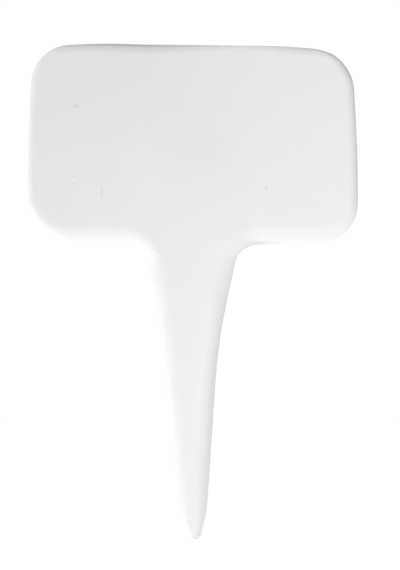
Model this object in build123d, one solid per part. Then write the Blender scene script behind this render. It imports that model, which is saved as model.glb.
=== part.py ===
from build123d import *
import math
import os

os.makedirs("parts", exist_ok=True)

# Sizes in millimetres. X is to the right of someone reading the label, Z is up, and the
# glazed front faces -Y. The origin is on the spike at the level of the soil, halfway through.
THICKNESS = 5.0              # bare back to glazed front
GLAZE = 0.35                 # depth of the glaze on the front and around the edge
GLAZE_LINE = 1.1             # bare clay left around the edge, up from the back
BACK_ROUND = 0.6             # rounding of the edge of the bare back

# The head, the oblong that is written on. It was trimmed by hand, so no two corners agree.
HEAD_WIDTH = 65.9            # its lower part, before the corners are rounded
HEAD_HEIGHT = 40.3           # at the left bend of its top edge
TOP_BEND_LEFT = 15.0         # the top edge has two slight bends, this far from the middle
TOP_BEND_RIGHT = 14.0
TOP_FALL = 0.45              # it falls this much from the left bend to the right one
TOP_DROP_LEFT = 0.45         # and beyond each bend its end drops this much more
TOP_DROP_RIGHT = 0.7
TOP_RADIUS = 120.0
LEAN_RISE = 20.0             # the sides go straight up this far, and then lean in
LEFT_LEAN = 0.8
RIGHT_LEAN = 1.3
LEAN_RADIUS = 300.0          # the sides turn into their lean this gently
CORNER_TOP_LEFT = 8.0
CORNER_TOP_RIGHT = 8.9
CORNER_BOTTOM_RIGHT = 8.2
CORNER_BOTTOM_LEFT = 10.5
HEAD_ROUND = 2.1             # width of the rounding between the front and the edge

# The spike. Drops are measured down from the underside of the head, and reaches are
# measured sideways from the middle.
NECK = 10.0                  # part of the spike that stays above the soil
ROOT_REACH_LEFT = 9.55       # where the flanks would meet the underside
ROOT_REACH_RIGHT = 9.3
ROOT_FILLET = 4.8            # inner corners between the spike and the head
KNEE_DROP_LEFT = 12.4        # where each flank turns from its flare to its long taper
KNEE_DROP_RIGHT = 19.0
KNEE_REACH_LEFT = 7.1
KNEE_REACH_RIGHT = 5.15
KNEE_RADIUS = 115.0
SHOULDER_DROP = 53.4         # where the long taper ends and the point begins
SHOULDER_REACH_LEFT = 2.8
SHOULDER_REACH_RIGHT = 2.85
SHOULDER_RADIUS = 14.0
POINT_DROP = 62.0            # where the two sides of the point would meet
POINT_SHIFT = 0.55           # the point leans this far to the right
TIP_RADIUS = 1.4
SPIKE_ROUND = 2.5            # width of the rounding between the front and the flanks

# The rounding is a quarter of an ellipse, cut into sections at these angles from the edge.
ROUND_DEPTH = 3.0            # how far back every rounding reaches from the front
ROUND_STEPS = (0, 18, 36, 54, 72, 90)
SMALLEST_RADIUS = 0.2        # least corner radius left on a section that is set in
SIDE_SHARE = 0.48            # most of a side that the radius at one of its ends may use up
WALL_SHARE = 0.85            # most of the clay beside it that a rounding may use up

underside = NECK
half_width = HEAD_WIDTH / 2
lean_z = underside + LEAN_RISE
top_left_z = underside + HEAD_HEIGHT
top_right_z = top_left_z - TOP_FALL
shoulder_z = underside - SHOULDER_DROP
spike_round = min(SPIKE_ROUND, WALL_SHARE * min(SHOULDER_REACH_LEFT, SHOULDER_REACH_RIGHT))
back_round = min(BACK_ROUND, WALL_SHARE * min(TIP_RADIUS - GLAZE, GLAZE_LINE))

# The corners of the outline, clockwise as seen from the front, each with its radius and
# with a mark that says whether the side that leaves it belongs to the head.
CORNERS = [
    (-half_width + LEFT_LEAN, top_left_z - TOP_DROP_LEFT, CORNER_TOP_LEFT, True),
    (-TOP_BEND_LEFT, top_left_z, TOP_RADIUS, True),
    (TOP_BEND_RIGHT, top_right_z, TOP_RADIUS, True),
    (half_width - RIGHT_LEAN, top_right_z - TOP_DROP_RIGHT, CORNER_TOP_RIGHT, True),
    (half_width, lean_z, LEAN_RADIUS, True),
    (half_width, underside, CORNER_BOTTOM_RIGHT, True),
    (ROOT_REACH_RIGHT, underside, ROOT_FILLET, False),
    (KNEE_REACH_RIGHT, underside - KNEE_DROP_RIGHT, KNEE_RADIUS, False),
    (SHOULDER_REACH_RIGHT, shoulder_z, SHOULDER_RADIUS, False),
    (POINT_SHIFT, underside - POINT_DROP, TIP_RADIUS, False),
    (-SHOULDER_REACH_LEFT, shoulder_z, SHOULDER_RADIUS, False),
    (-KNEE_REACH_LEFT, underside - KNEE_DROP_LEFT, KNEE_RADIUS, False),
    (-ROOT_REACH_LEFT, underside, ROOT_FILLET, True),
    (-half_width, underside, CORNER_BOTTOM_LEFT, True),
    (-half_width, lean_z, LEAN_RADIUS, True),
]


def set_in_side(start, end, distance):
    """A side of the outline moved towards the inside, as a point and a direction."""
    along = Vector(end[0] - start[0], end[1] - start[1]).normalized()
    inwards = Vector(along.Y, -along.X)
    point = Vector(start[0], start[1]) + inwards * distance
    return point, along


def crossing(side_a, side_b):
    """The point where the lines of two sides cross."""
    point_a, along_a = side_a
    point_b, along_b = side_b
    gap = point_b - point_a
    span = along_a.X * along_b.Y - along_a.Y * along_b.X
    return point_a + along_a * ((gap.X * along_b.Y - gap.Y * along_b.X) / span)


def outline(head_inset, spike_inset, height):
    """The outline of the label, set in from its edge, as a face at a height over the back."""
    sides = []
    insets = []
    for number, start in enumerate(CORNERS):
        end = CORNERS[(number + 1) % len(CORNERS)]
        inset = head_inset if start[3] else spike_inset
        sides.append(set_in_side(start, end, inset))
        insets.append(inset)
    points = []
    for number in range(len(CORNERS)):
        points.append(crossing(sides[number - 1], sides[number]))
    radii = []
    for number, corner in enumerate(CORNERS):
        before = points[number] - points[number - 1]
        after = points[(number + 1) % len(points)] - points[number]
        turn = math.atan2(before.X * after.Y - before.Y * after.X, before.dot(after))
        inset = (insets[number - 1] + insets[number]) / 2
        radius = corner[2] - inset if turn < 0 else corner[2] + inset
        room = SIDE_SHARE * min(before.length, after.length) / math.tan(abs(turn) / 2)
        radii.append(min(max(radius, SMALLEST_RADIUS), room))
    level = Plane.XZ.offset(height - THICKNESS / 2)
    edge = FilletPolyline(*[(p.X, p.Y) for p in points], radius=radii, close=True)
    return level * make_face(edge)


def slab(lowest, inset):
    """The label from a height over its back up to its front, all set in by the same depth."""
    round_start = THICKNESS - ROUND_DEPTH
    rim = extrude(outline(inset, inset, lowest), round_start - lowest)
    sections = []
    for step in ROUND_STEPS:
        angle = math.radians(step)
        across = 1 - math.cos(angle)
        head_inset = inset + (HEAD_ROUND - inset) * across
        spike_inset = inset + (spike_round - inset) * across
        height = round_start + (ROUND_DEPTH - inset) * math.sin(angle)
        sections.append(outline(head_inset, spike_inset, height))
    return rim + loft(sections)


# The fired clay: head and spike in one, flat on the back, with its edge eased there.
porcelain_body = slab(0.0, GLAZE)
back_edge = porcelain_body.faces().sort_by(Axis.Y)[-1].outer_wire().edges()
porcelain_body = fillet(back_edge, back_round)

# The glaze: everything over the clay, down to the line where it ends above the back.
glaze_coat = slab(GLAZE_LINE, 0.0) - porcelain_body

export_step(porcelain_body, "parts/porcelain_body.step")
export_step(glaze_coat, "parts/glaze_coat.step")
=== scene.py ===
import math

import bmesh
import bpy
import numpy as np
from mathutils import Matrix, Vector, geometry, kdtree, noise


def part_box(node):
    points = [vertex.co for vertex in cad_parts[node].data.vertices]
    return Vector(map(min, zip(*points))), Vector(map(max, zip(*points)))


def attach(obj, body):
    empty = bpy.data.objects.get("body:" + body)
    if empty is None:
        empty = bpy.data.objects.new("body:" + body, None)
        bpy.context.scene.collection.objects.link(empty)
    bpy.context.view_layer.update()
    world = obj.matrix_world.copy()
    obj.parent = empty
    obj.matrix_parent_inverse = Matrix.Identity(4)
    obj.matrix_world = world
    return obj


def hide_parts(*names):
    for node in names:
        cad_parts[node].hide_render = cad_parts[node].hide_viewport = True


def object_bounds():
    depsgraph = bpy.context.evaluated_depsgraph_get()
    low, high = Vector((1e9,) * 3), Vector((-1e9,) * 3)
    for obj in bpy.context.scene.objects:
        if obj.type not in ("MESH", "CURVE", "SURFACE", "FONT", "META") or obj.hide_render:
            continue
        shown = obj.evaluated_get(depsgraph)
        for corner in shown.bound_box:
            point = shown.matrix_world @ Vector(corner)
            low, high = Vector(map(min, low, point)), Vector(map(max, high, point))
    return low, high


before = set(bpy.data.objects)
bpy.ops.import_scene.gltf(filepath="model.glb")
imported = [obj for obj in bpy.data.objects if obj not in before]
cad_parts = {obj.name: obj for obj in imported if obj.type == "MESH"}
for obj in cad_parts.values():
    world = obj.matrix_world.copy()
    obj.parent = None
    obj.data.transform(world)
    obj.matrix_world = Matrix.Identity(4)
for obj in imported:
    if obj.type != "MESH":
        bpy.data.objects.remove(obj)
cad_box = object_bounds()


# The clay body: head and spike pressed as one piece of porcelain and fired lying on its back.
# The back is bare clay, flat and matte, with an edge that was eased with a wet sponge.
# The rest of the clay is under the glaze.
MM = 0.001                   # sizes are in millimetres, places on the label are x + iz, and depths are y
clay_low, clay_high = [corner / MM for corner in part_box("porcelain_body")]
coat_low, coat_high = [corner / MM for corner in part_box("glaze_coat")]
BACK = clay_high.y
FRONT = coat_low.y
GLAZE_LINE = coat_high.y
GLAZE = clay_low.y - coat_low.y

WELD = 0.0001                # points of the CAD mesh that are closer than this are one
LEVEL_SLACK = 0.001          # a face looks straight back if it lies within this of the furthest point


def back_loops(node):
    """The closed loops around the faces of a CAD node that look straight back, as x + iz."""
    mesh = bmesh.new()
    mesh.from_mesh(node.data)
    bmesh.ops.remove_doubles(mesh, verts=mesh.verts, dist=WELD * MM)
    level = max(vert.co.y for vert in mesh.verts) - LEVEL_SLACK * MM
    flat = {face for face in mesh.faces if all(vert.co.y > level for vert in face.verts)}
    beside = {}
    for side in mesh.edges:
        if sum(face in flat for face in side.link_faces) == 1:
            start, end = [vert.index for vert in side.verts]
            beside.setdefault(start, []).append(end)
            beside.setdefault(end, []).append(start)
    mesh.verts.ensure_lookup_table()
    loops = []
    while beside:
        here = next(iter(beside))
        loop = []
        while here is not None:
            loop.append(complex(mesh.verts[here].co.x, mesh.verts[here].co.z) / MM)
            onward = beside.pop(here)
            here = next((there for there in onward if there in beside), None)
        loops.append(np.array(loop))
    mesh.free()
    return loops


def loop_length(loop):
    """The length of a closed loop."""
    return np.abs(np.roll(loop, -1) - loop).sum()


def even_loop(loop, count, blur):
    """The same loop, clockwise from the front, with evenly spaced points and its facets blurred away."""
    closed = np.append(loop, loop[0])
    if (closed[:-1].conj() * closed[1:]).imag.sum() > 0:
        closed = closed[::-1]
    along = np.append(0, np.cumsum(np.abs(np.diff(closed))))
    steps = np.arange(count) * along[-1] / count
    even = np.interp(steps, along, closed.real) + 1j * np.interp(steps, along, closed.imag)
    fine = 2 * (math.pi * blur * np.fft.fftfreq(count, along[-1] / count)) ** 2
    return np.fft.ifft(np.fft.fft(even) * np.exp(-fine) * (1 + fine))


def outward(loop):
    """Unit normals of a clockwise loop."""
    along = np.roll(loop, -1) - np.roll(loop, 1)
    return 1j * along / np.abs(along)


def ripple(plan, size, layer):
    """Smooth noise between -1 and 1 at points x + iz, with swells of about a size. Layers differ."""
    return np.array([noise.noise(Vector((p.real / size, layer, p.imag / size))) for p in plan])


def ease(low, high, value):
    """0 below low, 1 above high, and a smooth step between them."""
    share = np.clip((value - low) / (high - low), 0, 1)
    return share * share * (3 - 2 * share)


def hump(value, middle, half_width):
    """1 in the middle of a stretch, falling to 0 on both sides of it."""
    return np.exp(-((value - middle) / half_width) ** 2)


def faces_up(normals):
    """1 where the edge faces up, falling to 0 round the upper corners."""
    return ease(0.8, 1.0, normals.imag)


EDGE_POINTS = 1000           # around the outline
EDGE_BLUR = 0.5              # the facets of the frame's outline are blurred over about this length
EDGE_WANDER = 0.07           # the trimmed edge wanders in by up to this much
coat_loop = max(back_loops(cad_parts["glaze_coat"]), key=loop_length)
trimmed = even_loop(coat_loop, EDGE_POINTS, EDGE_BLUR)
trimmed_out = outward(trimmed)

# The top edge rises and sags in slow waves: the middle of each, half its width and how deep it sags.
TOP_WAVES = ((-20.5, 5.0, -0.1), (-7.0, 6.0, 0.08), (7.5, 9.5, 0.24), (25.5, 3.5, 0.2))
sag = sum(deep * hump(trimmed.real, middle, wide) for middle, wide, deep in TOP_WAVES)
wander = EDGE_WANDER * (1 + ripple(trimmed, size=7.0, layer=1.5)) / 2
edge = trimmed - trimmed_out * (wander + sag * faces_up(trimmed_out))
out = outward(edge)

# The rounding between front and edge is a quarter of an ellipse. On the head its width goes by the way
# that the edge faces, in degrees up from the right. Along the top it is wider on the left, and narrower
# and shallower on the right. Down the right side of the head it is shallower too.
ROUND_DEPTH = 3.0
HEAD_ROUNDS = {0: 1.7, 45: 1.5, 70: 1.2, 90: 1.6, 135: 1.2, 180: 1.25, 225: 2.4, 270: 3.7, 315: 2.6}
TOP_WIDER = 0.4              # shares of the width
TOP_NARROWER = 0.2
TOP_SHALLOWER = 2.4          # parts of the depth, in millimetres
SIDE_SHALLOWER = 0.9
NECK_BLEND = (6.0, 14.0)     # heights between which the spike's rounding turns into the head's
head_round = np.interp(np.angle(out, deg=True), list(HEAD_ROUNDS), list(HEAD_ROUNDS.values()), period=360)
wide_top = faces_up(out) * hump(edge.real, middle=-13, half_width=9)
narrow_top = faces_up(out) * hump(edge.real, middle=9, half_width=11)
right_side = ease(0.85, 1.0, out.real) * ease(*NECK_BLEND, edge.imag)
head_round = head_round * (1 + TOP_WIDER * wide_top - TOP_NARROWER * narrow_top)
round_depth = ROUND_DEPTH - TOP_SHALLOWER * narrow_top - SIDE_SHALLOWER * right_side

# Most of the spike is round from flank to flank, and its point has a narrow flat.
LEFT_ROUND = 3.25
RIGHT_ROUND = 3.8
RIGHT_NECK_ROUND = 4.6       # the right flank above the soil
TIP_ROUND = 1.25             # the least width of the rounding
SPIKE_SHARE = 0.97           # most of its half width that the rounding takes up
POINT_SHARE = 0.65           # and most of it at the point
POINT_BLEND = (-46, -39)     # heights between which the point turns into the spike
SOIL_BLEND = (-8, 2)         # and the right flank's rounding grows wider
FLANK_FACING = 0.3           # a flank's normals point at least this far to its side


def flank(side):
    """How far to the right one flank of the spike lies at the height of each point of the edge."""
    chain = edge[(out.real * side > FLANK_FACING) & (edge.imag < NECK_BLEND[1])]
    chain = chain[np.argsort(chain.imag)]
    return np.interp(edge.imag, chain.imag, chain.real)


round_share = POINT_SHARE + (SPIKE_SHARE - POINT_SHARE) * ease(*POINT_BLEND, edge.imag)
right_round = RIGHT_ROUND + (RIGHT_NECK_ROUND - RIGHT_ROUND) * ease(*SOIL_BLEND, edge.imag)
flank_round = LEFT_ROUND + (right_round - LEFT_ROUND) * ease(-0.5, 0.5, out.real)
spike_round = np.clip(round_share * (flank(1) - flank(-1)) / 2, TIP_ROUND, flank_round)
spike_part = 1 - ease(*NECK_BLEND, edge.imag)
round_width = head_round + (spike_round - head_round) * spike_part

FILL_STEP = 0.6              # between the points that fill the front and the back
FILL_INSET = 0.9             # from the edge to where the filled front starts
ROW_SHARE = math.sqrt(0.75)  # of a step, from row to row
CLEAR_SHARE = 0.6            # of a step, that the points keep clear of others
MERGED = 1e-6                # points of a filling that are closer than this are one
INSIDE_ONLY = 1              # the filling that stops at the rim


def lattice(rim):
    """Points inside a closed loop, on rows of a triangular lattice that keep clear of the loop."""
    near = kdtree.KDTree(len(rim))
    for number, point in enumerate(rim):
        near.insert((point.real, point.imag, 0), number)
    near.balance()
    after = np.roll(rim, -1)
    row_step = FILL_STEP * ROW_SHARE
    inside = []
    for row in range(math.ceil(rim.imag.min() / row_step), math.ceil(rim.imag.max() / row_step)):
        level = row * row_step
        crossed = (rim.imag <= level) != (after.imag <= level)
        start = rim[crossed]
        end = after[crossed]
        share = (level - start.imag) / (end.imag - start.imag)
        hits = np.sort(start.real + share * (end.real - start.real))
        shift = FILL_STEP / 2 * (row % 2)
        for left, right in zip(hits[::2], hits[1::2]):
            first = math.ceil((left - shift) / FILL_STEP)
            beyond = math.ceil((right - shift) / FILL_STEP)
            for column in range(first, beyond):
                across = column * FILL_STEP + shift
                if near.find((across, level, 0))[2] > CLEAR_SHARE * FILL_STEP:
                    inside.append(complex(across, level))
    return np.array(inside)


def triangles_over(rim, inside):
    """Triangles that fill a closed loop through the points inside it, by their numbers."""
    plan = [Vector((p.real, p.imag)) for p in np.append(rim, inside)]
    loops = [list(range(len(rim)))]
    _, _, faces, sources, _, _ = geometry.delaunay_2d_cdt(plan, [], loops, INSIDE_ONLY, MERGED)
    return [[sources[vert][0] for vert in face] for face in faces]


class Shell:
    """Points and faces of a piece made of rings around the outline, with filled ends."""

    def __init__(self):
        self.points = []
        self.faces = []

    def ring(self, plan, depth):
        """Adds points at one depth, or each at its own. Gives the number of the first."""
        first = len(self.points)
        for point, y in zip(plan, np.broadcast_to(depth, len(plan))):
            self.points.append((point.real * MM, y * MM, point.imag * MM))
        return first

    def rings(self, plans, depths):
        """Rings joined one after the other, from the back towards the front. Gives the first and last."""
        starts = [self.ring(plan, depth) for plan, depth in zip(plans, depths)]
        for near, far in zip(starts, starts[1:]):
            self.bridge(near, far)
        return starts[0], starts[-1]

    def bridge(self, near, far):
        """Faces between two rings."""
        for number in range(EDGE_POINTS):
            onward = (number + 1) % EDGE_POINTS
            self.faces.append((near + number, near + onward, far + onward, far + number))

    def fill(self, ring, inside, depth, triangles):
        """Fills a ring with points and with triangles over both."""
        first = self.ring(inside, depth)
        place = list(range(ring, ring + EDGE_POINTS)) + list(range(first, first + len(inside)))
        self.faces += [[place[corner] for corner in triangle] for triangle in triangles]

    def piece(self, name):
        """A smooth object of these faces, all turned outwards."""
        data = bpy.data.meshes.new(name)
        data.from_pydata(self.points, [], self.faces)
        mesh = bmesh.new()
        mesh.from_mesh(data)
        bmesh.ops.recalc_face_normals(mesh, faces=mesh.faces)
        mesh.to_mesh(data)
        mesh.free()
        data.shade_smooth()
        made = bpy.data.objects.new(name, data)
        bpy.context.scene.collection.objects.link(made)
        return made


def round_rings(inset, sunk, steps):
    """The rounding, from the wall to where the filled front starts, set in and sunk under glaze."""
    whole_turn = np.arccos(1 - FILL_INSET / round_width)
    plans = []
    depths = []
    for step in range(steps + 1):
        turn = whole_turn * step / steps
        plans.append(edge - out * (inset + (round_width - inset) * (1 - np.cos(turn))))
        depths.append(FRONT + sunk + (round_depth - sunk) * (1 - np.sin(turn)))
    return plans, depths


front_rim = edge - out * FILL_INSET
front_inside = lattice(front_rim)
front_triangles = triangles_over(front_rim, front_inside)

# Distances are measured to the points of the edge and to others at each quarter of the way between them.
nearest_edge = kdtree.KDTree(4 * EDGE_POINTS)
for quarter in range(4):
    for number, point in enumerate(edge + (np.roll(edge, -1) - edge) * quarter / 4):
        nearest_edge.insert((point.real, point.imag, 0), number)
nearest_edge.balance()


def from_edge(plan):
    """The number of the nearest point of the edge, and its distance, for each point x + iz."""
    found = [nearest_edge.find((p.real, p.imag, 0)) for p in plan]
    return np.array([number for _, number, _ in found]), np.array([far for _, _, far in found])


def front_depths(plan, sunk):
    """How deep the front lies at points x + iz: sunk under glaze, and rounded off towards the edge."""
    number, inset = from_edge(plan)
    rise = np.sqrt(1 - (1 - np.minimum(inset / round_width[number], 1)) ** 2)
    return FRONT + sunk + (round_depth[number] - sunk) * (1 - rise)


SPONGED_EDGE = 0.6           # radius of the eased edge of the back
SPONGED_WANDER = 0.3         # share of it that comes and goes around the edge
SPONGED_STEPS = 6
CLAY_STEPS = 8               # of the rounding under the glaze
HOLLOW = 0.05                # the back is hollow by about this much, and by twice as much at the most
HOLLOW_BLEND = 3.0           # the hollow comes in over this width beside the edge

clay = Shell()
sponged = SPONGED_EDGE * (1 + SPONGED_WANDER * ripple(edge, size=11.0, layer=4.5))
sponged_plans = []
sponged_depths = []
for step in range(SPONGED_STEPS + 1):
    turn = math.pi / 2 * step / SPONGED_STEPS
    sponged_plans.append(edge - out * (GLAZE + sponged * (1 - math.sin(turn))))
    sponged_depths.append(BACK - sponged * (1 - math.cos(turn)))
clay_plans, clay_depths = round_rings(GLAZE, GLAZE, CLAY_STEPS)
back_ring, clay_ring = clay.rings(sponged_plans + clay_plans, sponged_depths + clay_depths)
clay_front = front_depths(front_inside, GLAZE)
clay.fill(clay_ring, front_inside, clay_front, front_triangles)
back_rim = sponged_plans[0]
back_inside = lattice(back_rim)
back_warp = HOLLOW * (ripple(back_inside, size=16.0, layer=7.5) - 1)
back_warp = back_warp * ease(0, HOLLOW_BLEND, from_edge(back_inside)[1] - GLAZE - SPONGED_EDGE)
clay.fill(back_ring, back_inside, BACK + back_warp, triangles_over(back_rim, back_inside))
clay_body = clay.piece("clay_body")


class Field:
    """A value, colour or vector in a tree of nodes, with arithmetic that adds Math nodes."""

    def __init__(self, tree, socket=None):
        self.tree = tree
        self.socket = socket

    def node(self, kind, settings=None, sockets=None, output=0):
        """Any node: its settings, then the values or fields of its sockets. Gives one output."""
        made = self.tree.nodes.new(kind)
        for name, value in (settings or {}).items():
            setattr(made, name, value)
        for name, value in (sockets or {}).items():
            if isinstance(value, Field):
                self.tree.links.new(value.socket, made.inputs[name])
            else:
                made.inputs[name].default_value = value
        return Field(self.tree, made.outputs[output] if made.outputs else None)

    def maths(self, operation, first, second):
        """One Math node."""
        return self.node("ShaderNodeMath", {"operation": operation}, {0: first, 1: second})

    def __add__(self, other):
        return self.maths("ADD", self, other)

    def __sub__(self, other):
        return self.maths("SUBTRACT", self, other)

    def __rsub__(self, other):
        return self.maths("SUBTRACT", other, self)

    def __mul__(self, other):
        return self.maths("MULTIPLY", self, other)

    __radd__ = __add__
    __rmul__ = __mul__


def finish_named(name):
    """A new material, and the field that its nodes start from."""
    material = bpy.data.materials.new(name)
    material.use_nodes = True
    material.node_tree.nodes.clear()
    return material, Field(material.node_tree)


def swells(field, where, size_mm, detail=2.0):
    """Noise between 0 and 1 whose patches are about so many millimetres wide."""
    return field.node(
        "ShaderNodeTexNoise", None,
        {"Vector": where, "Scale": 1 / (size_mm * MM), "Detail": detail, "Roughness": 0.55}, "Fac")


def blend_colours(field, share, first, second):
    """The first colour where the share is 0, and the second where it is 1."""
    sides = [side if isinstance(side, Field) else (*side, 1) for side in (first, second)]
    return field.node(
        "ShaderNodeMix", {"data_type": "RGBA"}, {"Factor": share, 6: sides[0], 7: sides[1]}, 2)


def between(field, low, high, value):
    """0 below low, 1 above high, and a smooth step between them, in a tree of nodes."""
    return field.node(
        "ShaderNodeMapRange", {"interpolation_type": "SMOOTHSTEP"},
        {"Value": value, "From Min": low, "From Max": high})


def dots(field, where, spacing_mm, reach_mm):
    """1 at scattered points, falling to 0 at a short distance from them."""
    far = field.node(
        "ShaderNodeTexVoronoi", None, {"Vector": where, "Scale": 1 / (spacing_mm * MM)}, "Distance")
    return 1 - between(field, 0.0, reach_mm / spacing_mm, far)


def bump(field, strength, height_mm, height):
    """Fine relief in a surface, too small for its mesh."""
    return field.node(
        "ShaderNodeBump", None,
        {"Strength": strength, "Distance": height_mm * MM, "Height": height}, "Normal")


def surface(field, settings):
    """The surface of a material."""
    shader = field.node("ShaderNodeBsdfPrincipled", None, settings)
    field.node("ShaderNodeOutputMaterial", None, {"Surface": shader})


# Wiping left streaks across the back, and the kiln flashed the clay a warmer tone beside the glaze.
DULL_CLAY = (0.75, 0.73, 0.69)
PALE_CLAY = (0.87, 0.855, 0.825)
FLASHED_CLAY = (0.79, 0.72, 0.63)
PORE_SHADOW = (0.5, 0.47, 0.43)
LONG_STREAKS = (0.12, 1, 1)  # they run across the label
bare_porcelain, field = finish_named("bare_porcelain")
where = field.node("ShaderNodeTexCoord", output="Object")
depth = field.node("ShaderNodeSeparateXYZ", None, {0: where}, "Y") * (1 / MM)
across = field.node(
    "ShaderNodeVectorMath", {"operation": "MULTIPLY"}, {0: where, 1: LONG_STREAKS}, "Vector")
grain = swells(field, where, size_mm=0.35, detail=3.0)
cloud = swells(field, where, size_mm=14.0)
streaks = swells(field, across, size_mm=0.9, detail=4.0)
pores = dots(field, where, spacing_mm=0.9, reach_mm=0.09)
flashed = 1 - between(field, GLAZE_LINE, BACK, depth + (cloud - 0.5) * 1.2)
shade = cloud * 0.5 + streaks * 0.35 + grain * 0.15
tone = blend_colours(field, shade, DULL_CLAY, PALE_CLAY)
tone = blend_colours(field, flashed * 0.55, tone, FLASHED_CLAY)
tone = blend_colours(field, pores * 0.35, tone, PORE_SHADOW)
worn = bump(field, strength=0.4, height_mm=0.03, height=grain * 0.6 + streaks - pores * 1.5)
surface(field, {"Base Color": tone, "Roughness": 0.7 + grain * 0.2, "Normal": worn})
clay_body.data.materials.append(bare_porcelain)

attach(clay_body, "root")
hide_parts("porcelain_body")


# The glaze: a white glass skin that was dipped on, wiped off the back and fused in the second firing.
# It softens every edge, lies in slow ripples on the front, and ends all round in a rounded lip
# that wanders a little along the glaze line.
LIP_STEPS = 6
LIP_DEPTH = GLAZE * 1.4      # of the lip's rounding
LIP_WANDER = 0.25
GLAZE_STEPS = 14             # of the rounding between front and edge
SETTLED = 0.22               # the front lies this far under the CAD's, which leaves room for the grit

coat = Shell()
lip_end = GLAZE_LINE - LIP_WANDER * (1 + ripple(edge, size=5.0, layer=9.5)) / 2
lip_plans = []
lip_depths = []
for step in range(LIP_STEPS + 1):
    turn = math.pi / 2 * step / LIP_STEPS
    lip_plans.append(edge - out * GLAZE * (1 - math.sin(turn)))
    lip_depths.append(lip_end - LIP_DEPTH * (1 - math.cos(turn)))
round_plans, round_depths = round_rings(0.0, SETTLED, GLAZE_STEPS)
lip_ring, coat_ring = coat.rings(lip_plans + round_plans, lip_depths + round_depths)

# Marks in the front: grains of grit, which lift the glaze, a short scratch that is darker along its line,
# and dark specks of iron in the glaze, one of which is painted shade on the upper side of a grain of grit.
# Then
# patches of painted shade: over the upper left and the middle of the face, less of it just left of the
# middle, and more at the inner corner on the right, down the right flank below the neck and at the point.
# Each is a middle x + iz with half its width and height. Grit also has its lift, and the iron spots and
# painted patches have how much they darken the glaze.
GRIT = (
    (14.52 + 20.89j, 0.22, 0.32, 0.2),
    (-23.62 + 23.28j, 0.42, 0.45, 0.12),
    (-6.93 + 8.18j, 0.25, 0.25, 0.14))
IRON_AND_GRIT_SHADE = (
    (-23.02 + 37.58j, 0.19, 0.42, 0.45),
    (-23.55 + 37.55j, 0.5, 0.4, 0.2),
    # painted shade on the upper side of the grain of grit at 14.52 + 20.89j
    (14.5 + 21.15j, 0.22, 0.2, 0.35),
    (-31.35 + 21.85j, 0.25, 0.5, 0.1))
PAINTED_SHADE_PATCHES = (
    (-12.0 + 40.0j, 21.0, 14.0, 0.085),
    (2.5 + 28.5j, 6.5, 5.0, 0.055),
    (-11.0 + 27.0j, 5.0, 5.0, -0.035),
    (9.8 + 10.3j, 2.4, 2.6, 0.22),
    (5.3 - 1.0j, 1.3, 4.0, 0.09),
    (1.35 - 47.6j, 0.45, 0.9, 0.2),
    (0.45 - 48.7j, 1.0, 0.8, 0.6))
SCRATCH = -18.06 + 20.4j
SCRATCH_HALF_WIDTH = 0.15
SCRATCH_HALF_HEIGHT = 1.1
SCRATCH_DEPTH = 0.03
SCRATCH_DARK = 0.3
RIPPLE = 0.015               # height of the slow ripples, which fade out towards the edge
RIPPLE_BLEND = (FILL_INSET, 3 * FILL_INSET)
FINE_STEP = 0.08             # between the points around grit, iron and scratch
FINE_REACH = 0.75


def closer_around(inside, places):
    """The same inside points, with much closer ones around some places."""
    row_step = FINE_STEP * ROW_SHARE
    reach = math.ceil(FINE_REACH / row_step) + 1
    fine = set()
    for place in places:
        middle_row = round(place.imag / row_step)
        middle_column = round(place.real / FINE_STEP)
        for row in range(middle_row - reach, middle_row + reach + 1):
            for column in range(middle_column - reach, middle_column + reach + 1):
                point = complex((column + row % 2 / 2) * FINE_STEP, row * row_step)
                if abs(point - place) < FINE_REACH:
                    fine.add(point)
    far = np.abs(inside[:, None] - np.array(places)[None, :]).min(axis=1)
    clear = far > FINE_REACH + CLEAR_SHARE * FINE_STEP
    return np.append(inside[clear], sorted(fine, key=lambda point: (point.imag, point.real)))


def mark(plan, middle, half_width, half_height, steep=1):
    """1 in the middle of a mark, falling to 0 around it."""
    off = plan - middle
    return np.exp(-((off.real / half_width) ** 2 + (off.imag / half_height) ** 2) ** steep)


def darkened(plan, spots):
    """How much a list of spots darkens the glaze at points x + iz."""
    return sum(dark * mark(plan, middle, wide, high) for middle, wide, high, dark in spots)


along_scratch = [SCRATCH + SCRATCH_HALF_HEIGHT * share * 1j for share in (-0.7, 0, 0.7)]
marked_places = [middle for middle, *_ in GRIT + IRON_AND_GRIT_SHADE] + along_scratch
marked_inside = closer_around(front_inside, marked_places)
waves = ripple(marked_inside, size=8.0, layer=2.5) + 0.4 * ripple(marked_inside, size=3.0, layer=3.5)
lowered = RIPPLE * waves * ease(*RIPPLE_BLEND, from_edge(marked_inside)[1])
for middle, wide, high, lift in GRIT:
    lowered = lowered - lift * mark(marked_inside, middle, wide, high, steep=2)
off_scratch = marked_inside - SCRATCH
scratched = np.exp(
    -(off_scratch.real / SCRATCH_HALF_WIDTH) ** 2 - (off_scratch.imag / SCRATCH_HALF_HEIGHT) ** 4)
lowered = lowered + SCRATCH_DEPTH * scratched
first_marked = len(coat.points)
marked_front = front_depths(marked_inside, SETTLED) + lowered
coat.fill(coat_ring, marked_inside, marked_front, triangles_over(front_rim, marked_inside))

# The underside of the coat follows the rounding and the front of the clay.
under_rings = [coat.ring(plan, depth) for plan, depth in zip(clay_plans, clay_depths)]
coat.bridge(under_rings[0], lip_ring)
for near, far in zip(under_rings, under_rings[1:]):
    coat.bridge(far, near)
coat.fill(under_rings[-1], front_inside, clay_front, [face[::-1] for face in front_triangles])
glaze_skin = coat.piece("glaze_skin")
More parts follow.
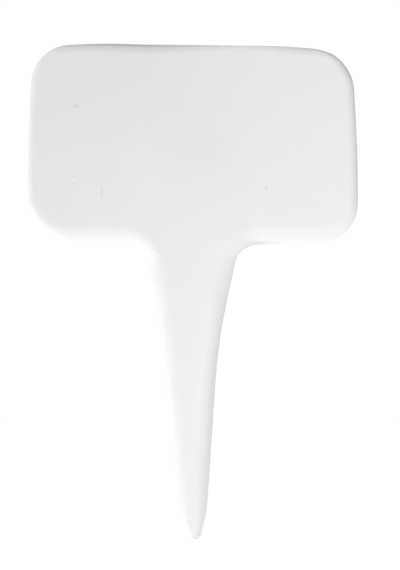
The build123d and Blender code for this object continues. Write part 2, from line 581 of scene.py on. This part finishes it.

# Painted shade in a line just inside parts of the edge: along the top on the left, round the upper corner
# and the inner corner on the right, and in a wider line down the right of the spike, which fades at the
# neck and towards the point.
EDGE_SHADE_INSET = 0.35            # from the edge to the middle of the line, and half its width
FLANK_SHADE_INSET = 0.55
TOP_DARK = 0.65              # how much each line darkens the glaze
UPPER_DARK = 0.15
INNER_DARK = 0.48
FLANK_DARK = 0.15
FLANK_END = (6.5, 11)        # heights between which the line on the flank ends
FLANK_START = (-46, -34)     # and comes up to its full darkness
FLANK_LEAST = 0.4            # share of that at the point
shaded_top = TOP_DARK * faces_up(out) * hump(edge.real, middle=-13.5, half_width=11)
shaded_upper_corner = UPPER_DARK * mark(edge, 31.5 + 42j, half_width=3.5, half_height=7.0)
shaded_inner_corner = INNER_DARK * mark(edge, 13.2 + 9.5j, half_width=3.2, half_height=3.0)
shaded_inner_corner = shaded_inner_corner * ease(0.1, 0.6, -out.imag)
shaded_right_flank = FLANK_DARK * ease(0.75, 0.95, out.real) * (1 - ease(*FLANK_END, edge.imag))
shaded_right_flank = shaded_right_flank * (FLANK_LEAST + (1 - FLANK_LEAST) * ease(*FLANK_START, edge.imag))

# How much each point of the glaze is darkened: by the scratch and iron specks, and by painted shade.
stains_and_shade = np.zeros(len(coat.points), dtype=np.float32)
stained_and_shaded = SCRATCH_DARK * scratched + darkened(marked_inside, IRON_AND_GRIT_SHADE + PAINTED_SHADE_PATCHES)
stains_and_shade[first_marked:first_marked + len(marked_inside)] = stained_and_shaded
# Each ring of the rounding is darkened by the painted shade of these lines and of the painted patches.
for step, plan in enumerate(round_plans):
    inset = np.abs(plan - edge)
    painted_edge_shade = (shaded_top + shaded_upper_corner + shaded_inner_corner) * hump(inset, EDGE_SHADE_INSET, EDGE_SHADE_INSET)
    painted_edge_shade = painted_edge_shade + shaded_right_flank * hump(inset, FLANK_SHADE_INSET, FLANK_SHADE_INSET)
    ring = lip_ring + (LIP_STEPS + 1 + step) * EDGE_POINTS
    stains_and_shade[ring:ring + EDGE_POINTS] = painted_edge_shade + darkened(plan, PAINTED_SHADE_PATCHES)
glaze_skin.data.attributes.new("stain_and_shade", "FLOAT", "POINT").data.foreach_set("value", stains_and_shade)

# The glaze is faintly cloudy, with a fine orange peel and a few pinholes. The clay warms it where it runs
# thin beside the glaze line.
CLOUDED_WHITE = (0.84, 0.84, 0.84)
CLEAR_WHITE = (0.86, 0.86, 0.86)
WARM_WHITE = (0.82, 0.79, 0.74)
PINHOLE_SHADOW = (0.6, 0.58, 0.55)
# the grey of the iron specks and of the painted shade
STAIN_AND_SHADE_GREY = (0.52, 0.51, 0.5)
WARM_BAND = 1.3              # width of the thin band beside the glaze line
white_glaze, field = finish_named("white_glaze")
where = field.node("ShaderNodeTexCoord", output="Object")
depth = field.node("ShaderNodeSeparateXYZ", None, {0: where}, "Y") * (1 / MM)
cloud = swells(field, where, size_mm=12.0)
peel = swells(field, where, size_mm=1.6)
pinholes = dots(field, where, spacing_mm=1.6, reach_mm=0.11)
stain_and_shade = field.node("ShaderNodeAttribute", {"attribute_name": "stain_and_shade"}, output="Fac")
thinned = between(field, GLAZE_LINE - WARM_BAND, GLAZE_LINE, depth + (peel - 0.5) * 0.6)
tone = blend_colours(field, cloud, CLOUDED_WHITE, CLEAR_WHITE)
tone = blend_colours(field, thinned * 0.5, tone, WARM_WHITE)
tone = blend_colours(field, pinholes * 0.3, tone, PINHOLE_SHADOW)
# The attribute greys the glaze with the scratch, the iron specks and painted shade along edges and face.
tone = blend_colours(field, stain_and_shade, tone, STAIN_AND_SHADE_GREY)
pitted = bump(field, strength=0.2, height_mm=0.02, height=peel - pinholes * 2)
surface(field, {"Base Color": tone, "Roughness": 0.4 + cloud * 0.1 + thinned * 0.15, "Normal": pitted})
glaze_skin.data.materials.append(white_glaze)

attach(glaze_skin, "root")
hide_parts("glaze_coat")


# The kiln specks: grains of iron in the bare clay of the back that burned dark in the firing.
# Each lies flush in the surface, and only a thin cap of it stands out.
SCORCHED_IRON = (0.1, 0.075, 0.06)
RUSTY_IRON = (0.3, 0.22, 0.16)
burnt_iron, field = finish_named("burnt_iron")
where = field.node("ShaderNodeTexCoord", output="Object")
rusty = swells(field, where, size_mm=0.08)
tone = blend_colours(field, rusty, SCORCHED_IRON, RUSTY_IRON)
surface(field, {"Base Color": tone, "Roughness": 0.55 + rusty * 0.3})

# Specks are only set where the back is flat and hollow by at least the size named Hollow.
SPECK_INPUTS = {
    "Specks a square metre": ("NodeSocketFloat", 7000.0),
    "Smallest half width": ("NodeSocketFloat", 0.04 * MM),
    "Largest half width": ("NodeSocketFloat", 0.13 * MM),
    "Stretch": ("NodeSocketFloat", 1.5),
    "Cap": ("NodeSocketFloat", 0.012 * MM),
    "Hollow": ("NodeSocketFloat", 0.03 * MM),
    "Seed": ("NodeSocketInt", 5),
    "Iron": ("NodeSocketMaterial", burnt_iron),
}
FLAT_FACING = 0.99           # least that the normals of the flat back point straight back
tree = bpy.data.node_groups.new("kiln_specks", "GeometryNodeTree")
tree.interface.new_socket("Geometry", in_out="OUTPUT", socket_type="NodeSocketGeometry")
tree.interface.new_socket("Clay", in_out="INPUT", socket_type="NodeSocketGeometry")
sockets = {}
for name, (kind, _) in SPECK_INPUTS.items():
    sockets[name] = tree.interface.new_socket(name, in_out="INPUT", socket_type=kind).identifier

field = Field(tree)
group_input = tree.nodes.new("NodeGroupInput")
given = {socket.name: Field(tree, socket) for socket in group_input.outputs if socket.name}
level = field.node("ShaderNodeSeparateXYZ", None, {0: field.node("GeometryNodeInputPosition")}, "Y")
behind = field.node("FunctionNodeCompare", {"operation": "GREATER_THAN"}, {0: level, 1: GLAZE_LINE * MM})
hollow_level = BACK * MM - given["Hollow"]
hollow = field.node("FunctionNodeCompare", {"operation": "LESS_THAN"}, {0: level, 1: hollow_level})
normal = field.node("ShaderNodeSeparateXYZ", None, {0: field.node("GeometryNodeInputNormal")}, "Y")
flat = field.node("FunctionNodeCompare", {"operation": "GREATER_THAN"}, {0: normal, 1: FLAT_FACING})
chosen = field.node("FunctionNodeBooleanMath", {"operation": "AND"}, {0: behind, 1: hollow})
chosen = field.node("FunctionNodeBooleanMath", {"operation": "AND"}, {0: chosen, 1: flat})
scattered = field.node(
    "GeometryNodeDistributePointsOnFaces", None,
    {"Mesh": given["Clay"], "Selection": chosen,
     "Density": given["Specks a square metre"], "Seed": given["Seed"]})
sunk = field.node("ShaderNodeCombineXYZ", None, {"Y": 0 - given["Cap"]})
scattered = field.node("GeometryNodeSetPosition", None, {"Geometry": scattered, "Offset": sunk})
speck_half = field.node(
    "FunctionNodeRandomValue", {"data_type": "FLOAT"},
    {2: given["Smallest half width"], 3: given["Largest half width"], "Seed": given["Seed"]}, 1)
spun = field.node(
    "FunctionNodeRandomValue", {"data_type": "FLOAT"}, {2: 0.0, 3: math.tau, "Seed": given["Seed"]}, 1)
spin = field.node("ShaderNodeCombineXYZ", None, {"Y": spun})
speck_size = field.node(
    "ShaderNodeCombineXYZ", None,
    {"X": speck_half, "Y": 2 * given["Cap"], "Z": speck_half * given["Stretch"]})
grain_of_iron = field.node("GeometryNodeMeshIcoSphere", None, {"Radius": 1.0, "Subdivisions": 2})
placed = field.node(
    "GeometryNodeInstanceOnPoints", None,
    {"Points": scattered, "Instance": grain_of_iron, "Rotation": spin, "Scale": speck_size})
made = field.node("GeometryNodeRealizeInstances", None, {"Geometry": placed})
made = field.node("GeometryNodeSetMaterial", None, {"Geometry": made, "Material": given["Iron"]})
field.node("NodeGroupOutput", None, {"Geometry": made})

scatter = bpy.data.objects.new("scatter", clay_body.data)
bpy.context.scene.collection.objects.link(scatter)
modifier = scatter.modifiers.new("kiln_specks", "NODES")
modifier.node_group = tree
for name, (_, value) in SPECK_INPUTS.items():
    modifier[sockets[name]] = value
evaluated = scatter.evaluated_get(bpy.context.evaluated_depsgraph_get())
speck_mesh = bpy.data.meshes.new_from_object(evaluated)
bpy.data.objects.remove(scatter)
speck_mesh.shade_smooth()
kiln_specks = bpy.data.objects.new("kiln_specks", speck_mesh)
bpy.context.scene.collection.objects.link(kiln_specks)

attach(kiln_specks, "root")


# The stage: a pale floor under the tip of the spike, which glows a little, and a white surround. The soft
# light comes mostly from the left, with two lamps by the camera, three small ones around the label and
# one behind it for the back.
FLOOR_HALF = 400.0
FLOOR_GLOW = 0.588
floor_half = FLOOR_HALF * MM
floor_level = cad_box[0].z
floor_mesh = bpy.data.meshes.new("floor")
floor_mesh.from_pydata(
    [(-floor_half, -floor_half, floor_level), (floor_half, -floor_half, floor_level),
     (floor_half, floor_half, floor_level), (-floor_half, floor_half, floor_level)],
    [], [(0, 1, 2, 3)])
floor = bpy.data.objects.new("floor", floor_mesh)
bpy.context.scene.collection.objects.link(floor)
pale_floor, field = finish_named("pale_floor")
surface(field, {
    "Base Color": (0.83, 0.83, 0.83, 1), "Roughness": 0.9,
    "Emission Color": (1, 1, 1, 1), "Emission Strength": FLOOR_GLOW})
floor.data.materials.append(pale_floor)

# The label is lit from all round, and more from above and from the left. The camera sees an even white.
GLOW_AROUND = 0.273
GLOW_ABOVE = 0.111
GLOW_LEFT = 0.729
SEEN_WHITE = 1.06
world = bpy.data.worlds.new("studio")
world.use_nodes = True
world.node_tree.nodes.clear()
field = Field(world.node_tree)
towards = field.node("ShaderNodeTexCoord", output="Generated")


def glow_from(side):
    """Light that is strongest from one side and fades to nothing square to it."""
    facing = field.node(
        "ShaderNodeVectorMath", {"operation": "DOT_PRODUCT"}, {0: towards, 1: side}, "Value")
    return facing.maths("MAXIMUM", facing, 0.0)


glow = GLOW_AROUND + GLOW_ABOVE * glow_from((0, 0, 1)) + GLOW_LEFT * glow_from((-1, 0, 0))
dome = field.node("ShaderNodeBackground", None, {"Color": (1, 1, 1, 1), "Strength": glow})
surround = field.node("ShaderNodeBackground", None, {"Color": (1, 1, 1, 1), "Strength": SEEN_WHITE})
seen = field.node("ShaderNodeLightPath", output="Is Camera Ray")
both = field.node("ShaderNodeMixShader", None, {"Fac": seen, 1: dome, 2: surround})
field.node("ShaderNodeOutputWorld", None, {"Surface": both})
bpy.context.scene.world = world


def soft_light(name, place, size, watts):
    """A square lamp, turned towards the label, that the camera doesn't see."""
    data = bpy.data.lights.new(name, "AREA")
    data.size = size * MM
    data.energy = watts
    lamp = bpy.data.objects.new(name, data)
    lamp.location = [along * MM for along in place]
    lamp.rotation_euler = (-lamp.location).to_track_quat("-Z", "Y").to_euler()
    lamp.visible_camera = False
    bpy.context.scene.collection.objects.link(lamp)


soft_light("front_lamp", (60, -200, -40), size=50, watts=0.108)
soft_light("high_lamp", (80, -300, 100), size=100, watts=0.071)
soft_light("top_lamp", (40, -10, 140), size=50, watts=0.0129)
soft_light("corner_lamp", (-60, 0, 80), size=30, watts=0.0047)
soft_light("low_lamp", (-90, 20, -30), size=40, watts=0.0137)
soft_light("back_lamp", (20, 300, 60), size=120, watts=0.1)

# The camera: square on to the front, at five pixels a millimetre on the widest part of the edge. The
# width of its sensor lies along the taller side of the picture.
PIXELS_A_MM = 5.0
LABEL_PIXEL = (192.95, 295.1)
FRAME_PIXELS = (400, 570)
camera_data = bpy.data.cameras.new("camera")
camera_data.lens = 135
camera_data.sensor_width = 36
camera = bpy.data.objects.new("camera", camera_data)
frame_height = FRAME_PIXELS[1] / PIXELS_A_MM * MM
distance = frame_height * camera_data.lens / camera_data.sensor_width
camera.location = (
    (FRAME_PIXELS[0] / 2 - LABEL_PIXEL[0]) / PIXELS_A_MM * MM,
    (FRONT + ROUND_DEPTH) * MM - distance,
    (LABEL_PIXEL[1] - FRAME_PIXELS[1] / 2) / PIXELS_A_MM * MM)
camera.rotation_euler = (math.pi / 2, 0, 0)
bpy.context.scene.collection.objects.link(camera)
bpy.context.scene.camera = camera
bpy.context.scene.view_settings.view_transform = "Standard"
